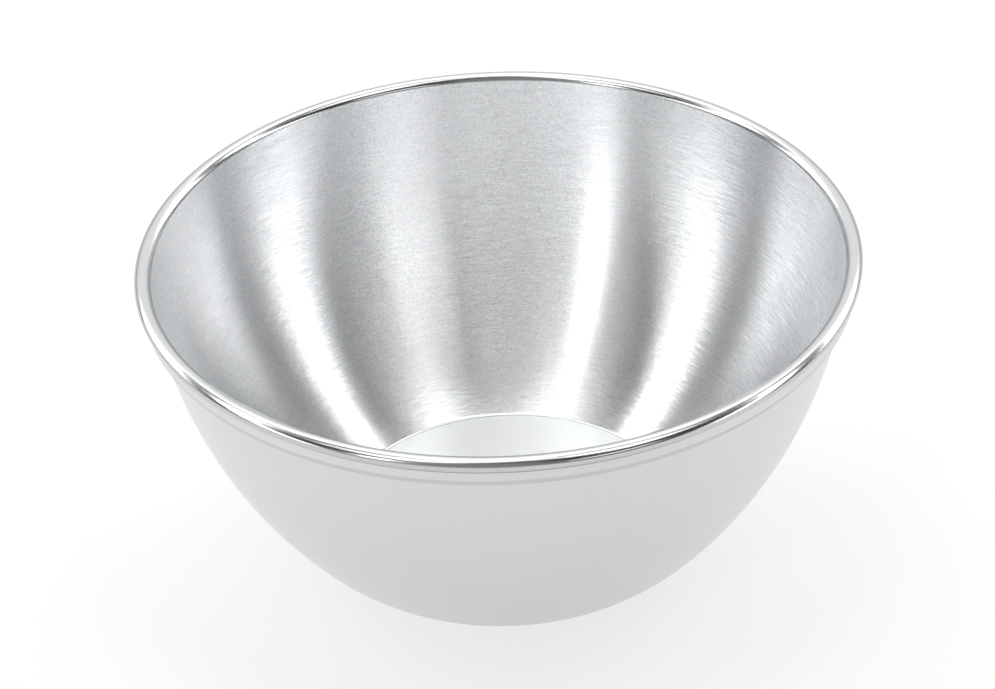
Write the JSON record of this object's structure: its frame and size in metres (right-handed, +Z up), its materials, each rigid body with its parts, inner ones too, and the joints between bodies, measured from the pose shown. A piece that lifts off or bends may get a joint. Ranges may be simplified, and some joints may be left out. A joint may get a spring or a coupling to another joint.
{
  "type": "shaving bowl",
  "caption": "Round sheet-steel shaving bowl with a flat base, a curved wall flaring to a wide mouth, and a rolled rim with a polished bead and a short turned-in skirt.",
  "frame": {"origin": "centre of the flat underside, on the plane that the bowl stands on", "axes": "+Z up along the axis of revolution, from the base to the mouth; the bowl is round, so +X and +Y may face any way"},
  "size_m": [0.13, 0.13, 0.06],
  "materials": {
    "satin_steel": "brushed round the bowl to a satin finish inside and out, bead polished bright",
    "wire_steel": "drawn wire, unpolished, closed inside the bead"
  },
  "bodies": {
    "root": {"bowl_shell": "satin_steel", "rim_wire": "wire_steel"}
  },
  "joints": []
}
